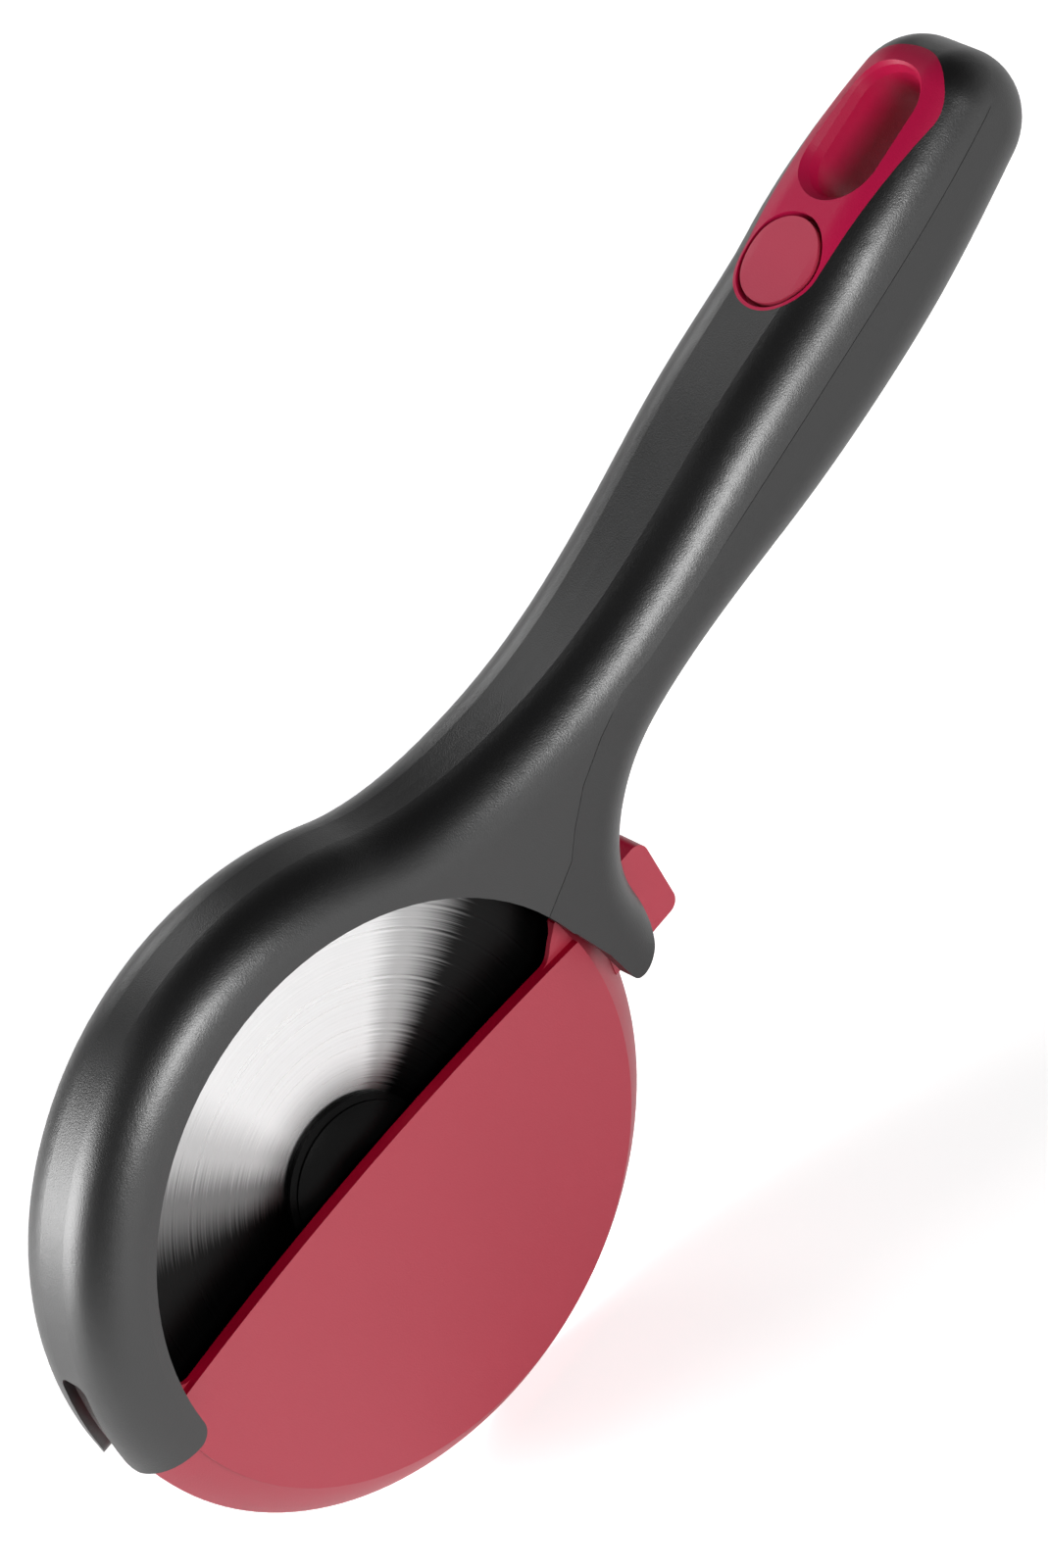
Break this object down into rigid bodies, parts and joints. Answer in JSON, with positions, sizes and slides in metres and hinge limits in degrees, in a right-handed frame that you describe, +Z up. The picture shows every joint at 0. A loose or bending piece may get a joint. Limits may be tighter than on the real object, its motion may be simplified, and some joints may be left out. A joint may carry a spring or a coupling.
{
  "type": "pizza cutter",
  "caption": "Hooded pizza cutter: disc blade on a hub, swinging half-disc blade guard with a thumb tab, rising rounded handle with a slotted hanging insert",
  "frame": {"origin": "on the wheel's axis, at the centre of the flat rear face of the axle boss, which the cutter rests on when it lies on its back", "axes": "+X from the wheel toward the handle along the guard's straight edge, +Z up toward the hood, +Y out of the back along the wheel's axis; the front face looks along -Y"},
  "size_m": [0.2177, 0.026, 0.1044],
  "materials": {
    "body_black": "satin",
    "cover_black": "matte",
    "insert_red": "matte",
    "badge_red": "matte",
    "axle_steel": "brushed",
    "guard_red": "matte",
    "tab_red": "matte",
    "blade_steel": "brushed",
    "hub_black": "gloss"
  },
  "bodies": {
    "body": {"body_shell": "body_black", "underside_cover": "cover_black", "hang_insert": "insert_red", "badge_disc": "badge_red", "axle_pin": "axle_steel", "axle_clip": "axle_steel"},
    "guard": {"guard_front": "guard_red", "guard_back": "guard_red", "thumb_tab": "tab_red"},
    "wheel": {"blade": "blade_steel", "hub_front": "hub_black", "hub_back": "hub_black"}
  },
  "joints": [
    {"name": "guard_turn", "type": "hinge", "parent": "body", "child": "guard", "pos_m": [0, -0.013, 0], "axis": [0, 1, 0], "range_deg": [0, 180]},
    {"name": "blade_spin", "type": "hinge", "parent": "body", "child": "wheel", "pos_m": [0, -0.013, 0], "axis": [0, 1, 0], "continuous": true}
  ]
}
